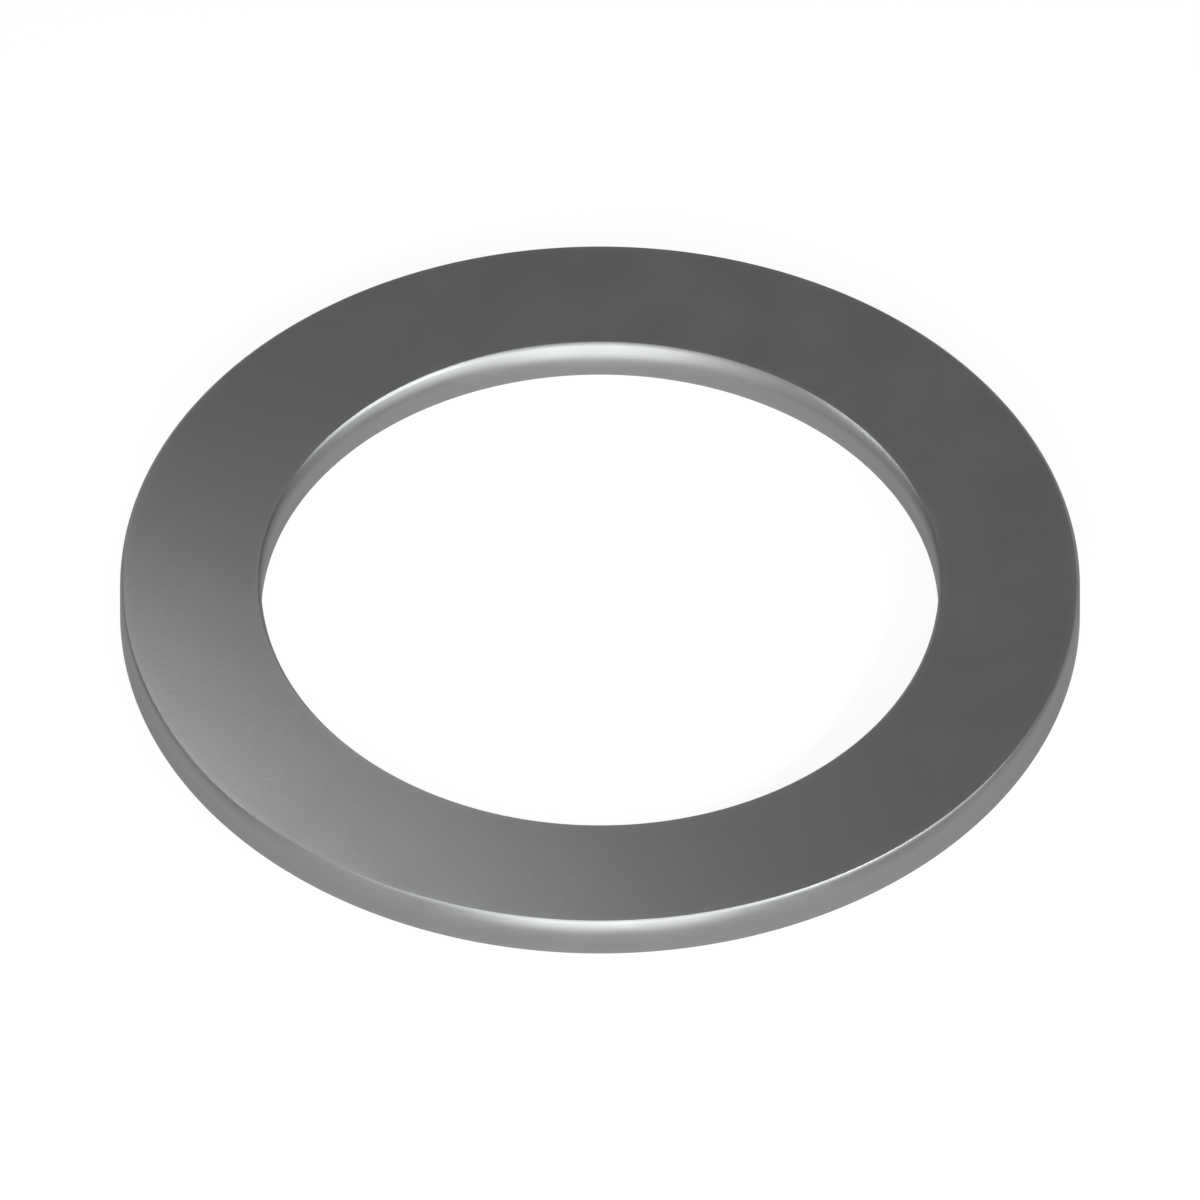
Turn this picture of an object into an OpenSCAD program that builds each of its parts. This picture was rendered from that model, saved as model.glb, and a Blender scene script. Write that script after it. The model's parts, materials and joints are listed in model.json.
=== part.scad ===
// Steering stem washer: one flat steel ring with a plain round bore.
// It lies on the top yoke of a motorcycle's front fork, round the threaded end of the
// steering stem, and spreads the clamping load of the stem nut.
// The two faces are flat and alike, and all four corners of the section are broken at
// 45 degrees. The ring stands on z = 0 with the bore's axis on z. Millimetres.

/* [Stem] */
// Diameter over the thread of the stem, which passes through the bore
stem_d = 24; // [10:0.5:33]
// Gap between the stem and the wall of the bore, all round
stem_clearance = 0.35; // [0.1:0.05:0.8]

/* [Ring] */
// Diameter over the rim
rim_d = 35; // [27:0.5:70]
// Distance between the two flat faces
thickness = 1.7; // [0.8:0.1:6]

/* [Edges] */
// Width of the 45 degree chamfer on both corners of the rim
rim_chamfer = 0.12; // [0.05:0.01:0.35]
// Width of the 45 degree chamfer on both mouths of the bore
bore_chamfer = 0.12; // [0.05:0.01:0.35]

/* [Hidden] */
rim_r = rim_d / 2;
bore_r = stem_d / 2 + stem_clearance;
arc_steps = 180;
steel_grey = "#7d7f7e";

// Half of the ring as it would show sawn through: x is the distance from the axis.
// The points go round from the lower face's inner edge.
module section() {
    polygon([
        [bore_r + bore_chamfer, 0],
        [rim_r - rim_chamfer, 0],
        [rim_r, rim_chamfer],
        [rim_r, thickness - rim_chamfer],
        [rim_r - rim_chamfer, thickness],
        [bore_r + bore_chamfer, thickness],
        [bore_r, thickness - bore_chamfer],
        [bore_r, bore_chamfer],
    ]);
}

module washer() {
    color(steel_grey)
        rotate_extrude($fn = arc_steps)
            section();
}

washer();
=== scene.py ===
import json
import math

import bmesh
import bpy
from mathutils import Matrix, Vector


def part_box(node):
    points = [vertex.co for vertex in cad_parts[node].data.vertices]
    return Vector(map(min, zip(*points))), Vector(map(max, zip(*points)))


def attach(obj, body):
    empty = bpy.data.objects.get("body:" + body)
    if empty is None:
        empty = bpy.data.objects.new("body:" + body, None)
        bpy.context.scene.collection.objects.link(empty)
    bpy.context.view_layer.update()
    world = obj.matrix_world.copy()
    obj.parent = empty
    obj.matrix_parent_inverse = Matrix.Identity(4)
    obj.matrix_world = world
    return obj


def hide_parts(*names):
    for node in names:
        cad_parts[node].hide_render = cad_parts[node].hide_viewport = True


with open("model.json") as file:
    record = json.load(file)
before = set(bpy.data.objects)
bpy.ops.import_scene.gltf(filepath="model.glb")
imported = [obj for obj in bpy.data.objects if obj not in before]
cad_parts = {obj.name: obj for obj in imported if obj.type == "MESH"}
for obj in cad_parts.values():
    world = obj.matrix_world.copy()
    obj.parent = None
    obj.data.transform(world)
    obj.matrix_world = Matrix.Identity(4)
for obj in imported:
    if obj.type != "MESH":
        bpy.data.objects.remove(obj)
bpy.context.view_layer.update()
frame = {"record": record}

# The washer. One flat ring of plain carbon steel, blanked out of sheet, with the corners of
# the rim and of the bore broken at 45 degrees and the whole ring tumbled to a satin grey.
# It lies loose on the fork's top yoke, round the steering stem and under the stem's nut.
MM = 0.001
lower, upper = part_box("washer")
bore = next(m for m in frame["record"]["mounts"] if m["name"] == "stem_bore")
rim_radius = upper.x
thickness = upper.z - lower.z
bore_radius = bore["dims"]["r_mm"] * MM
edge_break = (thickness - bore["dims"]["length_mm"] * MM) / 2
steps_round = 360
wall_bands = 8

ring = bmesh.new()
section = [
    ring.verts.new((bore_radius, 0, 0)),
    ring.verts.new((rim_radius, 0, 0)),
    ring.verts.new((rim_radius, 0, thickness)),
    ring.verts.new((bore_radius, 0, thickness)),
]
sides = [ring.edges.new((section[i - 1], section[i])) for i in range(4)]
walls = [sides[0], sides[2]]
bmesh.ops.subdivide_edges(ring, edges=walls, cuts=wall_bands - 1)
bmesh.ops.spin(
    ring,
    geom=ring.verts[:] + ring.edges[:],
    axis=(0, 0, 1),
    angle=math.tau,
    steps=steps_round,
    use_merge=True,
)
bmesh.ops.remove_doubles(ring, verts=ring.verts[:], dist=0.001 * MM)
bmesh.ops.recalc_face_normals(ring, faces=ring.faces[:])
sharp_turn = math.radians(60)
square_corners = [e for e in ring.edges if e.calc_face_angle() > sharp_turn]
bmesh.ops.bevel(
    ring,
    geom=square_corners,
    offset=edge_break,
    offset_type="OFFSET",
    segments=1,
    profile=0.5,
    affect="EDGES",
    material=-1,
)
bmesh.ops.recalc_face_normals(ring, faces=ring.faces[:])
# The two flat faces end sharply, and light runs smoothly over all the rest.
flat_normal_z = 0.99
for face in ring.faces:
    face.smooth = True
for edge in ring.edges:
    flat_sides = [f for f in edge.link_faces if abs(f.normal.z) > flat_normal_z]
    edge.smooth = len(flat_sides) != 1
ring_mesh = bpy.data.meshes.new("washer_ring")
ring.to_mesh(ring_mesh)
ring.free()
# Light rolls softly over the upper part of each wall. The walls are straight, so only their
# shading leans: up the most at a wall's top, less and less down a share of the wall, its roll,
# and up a little again at the foot. At the broken corners it has turned to about 45 degrees.
rim_lean = math.radians(28)
rim_roll = 0.66
rim_corner = math.radians(43)
mouth_lean = math.radians(35)
mouth_roll = 0.94
mouth_corner = math.radians(47)
foot_lean = math.radians(6)
lower_corner = math.radians(-45)
wall_foot = edge_break
wall_top = thickness - edge_break
middle_radius = (rim_radius + bore_radius) / 2
shading = [Vector((0, 0, 0)) for corner in ring_mesh.loops]
for face in ring_mesh.polygons:
    if abs(face.normal.z) > flat_normal_z:
        continue
    for index in face.loop_indices:
        spot = ring_mesh.vertices[ring_mesh.loops[index].vertex_index].co
        outward = Vector((spot.x, spot.y, 0))
        if outward.length > middle_radius:
            facing = outward.normalized()
            top_lean, roll, upper_corner = rim_lean, rim_roll, rim_corner
        else:
            facing = -outward.normalized()
            top_lean, roll, upper_corner = mouth_lean, mouth_roll, mouth_corner
        sunk = (wall_top - spot.z) / (wall_top - wall_foot)
        fallen = min(max(sunk, 0) / roll, 1)
        eased = fallen * fallen * (3 - 2 * fallen)
        lean = top_lean * (1 - eased) + foot_lean * sunk
        if spot.z > thickness - edge_break / 2:
            lean = upper_corner
        elif spot.z < edge_break / 2:
            lean = lower_corner
        shading[index] = facing * math.cos(lean) + Vector((0, 0, math.sin(lean)))
ring_mesh.normals_split_custom_set(shading)
washer = bpy.data.objects.new("washer_ring", ring_mesh)
bpy.context.scene.collection.objects.link(washer)


def from_hex(code):
    """An sRGB hex colour as linear red, green, blue and alpha."""
    shares = [int(code[i : i + 2], 16) / 255 for i in (1, 3, 5)]
    return [s / 12.92 if s < 0.04045 else ((s + 0.055) / 1.055) ** 2.4 for s in shares] + [1]


def add_node(tree, kind, settings=(), inputs=()):
    """Adds a node, with its settings, and its inputs as numbers, colours or links."""
    made = tree.nodes.new(kind)
    for name, value in dict(settings).items():
        setattr(made, name, value)
    for name, value in dict(inputs).items():
        if isinstance(value, bpy.types.NodeSocket):
            tree.links.new(value, made.inputs[name])
        else:
            made.inputs[name].default_value = value
    return made


# Plain carbon steel, tumbled with ceramic chips after the blanking. The chips leave a fine
# grain without direction, so the metal mirrors the room as a soft blur. They mark the broad
# faces most, a little unevenly, and rub the steel smoother and paler along the corners.
# The real grain is about a third as wide, and is drawn this coarse so that it shows.
grain_width = 0.14 * MM
grain_depth = 0.0045 * MM
wall_grain = 0.5
corner_grain = 0.1
patch_width = 2.5 * MM
patch_noise_low = 0.3
patch_noise_high = 0.7
rubbed_width = 0.4 * MM
# The roughness: the satin's own, how far the patches change it, and what rubbing takes off.
satin = 0.41
satin_spread = 0.025
rubbed_gloss = 0.02
dull_patch = from_hex("#848685")
pale_patch = from_hex("#8c8e8d")
rubbed_steel = from_hex("#8b8d8c")
# Seen at a low angle, bare steel brightens less than a clean mirror does.
low_angle_tint = from_hex("#c8c8c8")
steel = bpy.data.materials.new("tumbled_carbon_steel")
steel.use_nodes = True
tree = steel.node_tree
tree.nodes.clear()
where = add_node(tree, "ShaderNodeTexCoord").outputs["Object"]
grain = add_node(
    tree,
    "ShaderNodeTexNoise",
    inputs={"Vector": where, "Scale": 1 / grain_width, "Detail": 2.0, "Roughness": 0.6},
)
patches = add_node(
    tree,
    "ShaderNodeTexNoise",
    inputs={"Vector": where, "Scale": 1 / patch_width, "Detail": 4.0, "Roughness": 0.55},
)
flattened = add_node(
    tree, "ShaderNodeVectorMath", {"operation": "MULTIPLY"}, {0: where, 1: (1, 1, 0)}
)
radial = add_node(
    tree, "ShaderNodeVectorMath", {"operation": "LENGTH"}, {0: flattened.outputs[0]}
).outputs["Value"]
height = add_node(tree, "ShaderNodeSeparateXYZ", inputs={0: where}).outputs["Z"]
from_rim = add_node(tree, "ShaderNodeMath", {"operation": "SUBTRACT"}, {0: rim_radius, 1: radial})
from_bore = add_node(tree, "ShaderNodeMath", {"operation": "SUBTRACT"}, {0: radial, 1: bore_radius})
from_top = add_node(tree, "ShaderNodeMath", {"operation": "SUBTRACT"}, {0: thickness, 1: height})
across = add_node(
    tree, "ShaderNodeMath", {"operation": "MINIMUM"}, {0: from_rim.outputs[0], 1: from_bore.outputs[0]}
)
down = add_node(tree, "ShaderNodeMath", {"operation": "MINIMUM"}, {0: height, 1: from_top.outputs[0]})
from_corner = add_node(
    tree, "ShaderNodeMath", {"operation": "MAXIMUM"}, {0: across.outputs[0], 1: down.outputs[0]}
)
rubbed = add_node(
    tree,
    "ShaderNodeMapRange",
    {"interpolation_type": "SMOOTHSTEP"},
    {
        "Value": from_corner.outputs[0],
        "From Min": edge_break,
        "From Max": rubbed_width,
        "To Min": 1.0,
        "To Max": 0.0,
    },
)
dullness = add_node(
    tree,
    "ShaderNodeMapRange",
    inputs={
        "Value": patches.outputs["Fac"],
        "From Min": patch_noise_low,
        "From Max": patch_noise_high,
        "To Min": satin - satin_spread,
        "To Max": satin + satin_spread,
    },
)
roughness = add_node(
    tree,
    "ShaderNodeMath",
    {"operation": "MULTIPLY_ADD"},
    {0: rubbed.outputs[0], 1: -rubbed_gloss, 2: dullness.outputs[0]},
)
# In a Mix node of colours, socket 0 is the share of the second, and 6 and 7 are the colours.
patchy_grey = add_node(
    tree,
    "ShaderNodeMix",
    {"data_type": "RGBA"},
    {0: patches.outputs["Fac"], 6: dull_patch, 7: pale_patch},
)
grey = add_node(
    tree,
    "ShaderNodeMix",
    {"data_type": "RGBA"},
    {0: rubbed.outputs[0], 6: patchy_grey.outputs[2], 7: rubbed_steel},
)
grain_down_walls = add_node(
    tree,
    "ShaderNodeMapRange",
    inputs={"Value": down.outputs[0], "From Max": edge_break, "To Min": 1.0, "To Max": wall_grain},
)
grain_at_corners = add_node(
    tree,
    "ShaderNodeMapRange",
    inputs={"Value": rubbed.outputs[0], "To Min": 1.0, "To Max": corner_grain},
)
grain_left = add_node(
    tree,
    "ShaderNodeMath",
    {"operation": "MINIMUM"},
    {0: grain_down_walls.outputs[0], 1: grain_at_corners.outputs[0]},
)
dents = add_node(
    tree,
    "ShaderNodeBump",
    inputs={
        "Height": grain.outputs["Fac"],
        "Strength": grain_left.outputs[0],
        "Distance": grain_depth,
    },
)
shader = add_node(
    tree,
    "ShaderNodeBsdfPrincipled",
    inputs={
        "Base Color": grey.outputs[2],
        "Metallic": 1.0,
        "Roughness": roughness.outputs[0],
        "Specular Tint": low_angle_tint,
        "Normal": dents.outputs["Normal"],
    },
)
add_node(tree, "ShaderNodeOutputMaterial", inputs={"Surface": shader.outputs["BSDF"]})
ring_mesh.materials.append(steel)
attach(washer, "root")
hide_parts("washer")

# The floor. A plain white board that the ring lies on, lit softly, with the ring's shadow.
# To the camera and in the steel most of it shows plain white, and the rest takes the shadow.
# Its inside, which a low camera looks through, is all white.
board_radius = 1.5
board_thickness = 0.04
board_grey = from_hex("#e6e6e6")
white = from_hex("#ffffff")
white_strength = 1.11
white_part = 0.8
floor_mesh = bpy.data.meshes.new("floor")
board = bmesh.new()
bmesh.ops.create_cone(
    board,
    cap_ends=True,
    segments=96,
    radius1=board_radius,
    radius2=board_radius,
    depth=board_thickness,
)
bmesh.ops.translate(board, verts=board.verts[:], vec=(0, 0, -board_thickness / 2))
board.to_mesh(floor_mesh)
board.free()
floor = bpy.data.objects.new("floor", floor_mesh)
bpy.context.scene.collection.objects.link(floor)
white_board = bpy.data.materials.new("white_board")
white_board.use_nodes = True
# Cycles doesn't search the board for lamplight, which keeps the thin bright corners clean.
white_board.cycles.emission_sampling = "NONE"
tree = white_board.node_tree
tree.nodes.clear()
seen = add_node(tree, "ShaderNodeLightPath")
lit = add_node(tree, "ShaderNodeBsdfDiffuse", inputs={"Color": board_grey})
glow = add_node(tree, "ShaderNodeEmission", inputs={"Color": white, "Strength": white_strength})
either = add_node(
    tree,
    "ShaderNodeMath",
    {"operation": "MAXIMUM"},
    {0: seen.outputs["Is Camera Ray"], 1: seen.outputs["Is Glossy Ray"]},
)
shown = add_node(
    tree,
    "ShaderNodeMath",
    {"operation": "MAXIMUM"},
    {0: either.outputs[0], 1: seen.outputs["Is Transmission Ray"]},
)
share = add_node(
    tree, "ShaderNodeMath", {"operation": "MULTIPLY"}, {0: shown.outputs[0], 1: white_part}
)
inside = add_node(tree, "ShaderNodeNewGeometry").outputs["Backfacing"]
white_share = add_node(
    tree, "ShaderNodeMath", {"operation": "MAXIMUM"}, {0: share.outputs[0], 1: inside}
)
mixed = add_node(
    tree,
    "ShaderNodeMixShader",
    inputs={0: white_share.outputs[0], 1: lit.outputs[0], 2: glow.outputs[0]},
)
add_node(tree, "ShaderNodeOutputMaterial", inputs={"Surface": mixed.outputs[0]})
floor_mesh.materials.append(white_board)

# The light. A dim even dome and soft boxes at a plain level, which are placed and sized in
# millimetres and turned to the ring's centre.
dome_strength = 0.07
world = bpy.data.worlds.new("studio")
bpy.context.scene.world = world
world.use_nodes = True
dome = world.node_tree.nodes["Background"]
dome.inputs["Color"].default_value = white
dome.inputs["Strength"].default_value = dome_strength
centre = Vector((0, 0, thickness / 2))


def add_softbox(name, place, width, height, radiance):
    """A rectangular lamp that faces the ring's centre; radiance 1 shows as white in a mirror."""
    lamp = bpy.data.lights.new(name, "AREA")
    lamp.shape = "RECTANGLE"
    lamp.size = width * MM
    lamp.size_y = height * MM
    lamp.energy = radiance * math.pi * lamp.size * lamp.size_y
    box = bpy.data.objects.new(name, lamp)
    box.location = Vector(place) * MM
    box.rotation_euler = (centre - box.location).to_track_quat("-Z", "Y").to_euler()
    box.visible_camera = False
    bpy.context.scene.collection.objects.link(box)


# The bright bands at the rim's front and the bore's back.
add_softbox("front_box", place=(10, -323, 127), width=296, height=182, radiance=5.6)
# The fine line that goes on from them, round the rim's right and the bore's left.
add_softbox("right_strip", place=(116, -59, 84), width=154, height=7.5, radiance=48)
# The pale side of the face.
add_softbox("overhead_box", place=(-13.4, 6.5, 26.5), width=5.2, height=36.5, radiance=4.9)
# The other ends of the bands, round the rim's left and the bore's right.
add_softbox("low_left_box", place=(-87, -66, 34), width=66, height=72, radiance=0.9)
add_softbox("high_left_box", place=(-129, -3, 62), width=47, height=21.5, radiance=8.7)
add_softbox("near_left_box", place=(-33, -52, 40), width=33, height=17, radiance=3.6)
# The even grey of the whole face.
add_softbox("back_box", place=(5, 198, 212), width=56, height=67, radiance=1.8)

# The camera. It looks along parallel lines, down on the ring from 45 degrees in front.
# In the picture's 1200 pixels the rim is 959.9 wide.
picture_width = 1200
rim_width_in_picture = 959.9
camera_rise = math.radians(45)
camera_distance = 0.3
lens = bpy.data.cameras.new("camera")
lens.type = "ORTHO"
lens.ortho_scale = 2 * rim_radius * picture_width / rim_width_in_picture
lens.clip_start = 0.001
camera = bpy.data.objects.new("camera", lens)
camera.location = centre + camera_distance * Vector((0, -math.cos(camera_rise), math.sin(camera_rise)))
camera.rotation_euler = (math.pi / 2 - camera_rise, 0, 0)
bpy.context.scene.collection.objects.link(camera)
bpy.context.scene.camera = camera
bpy.context.scene.view_settings.view_transform = "Standard"
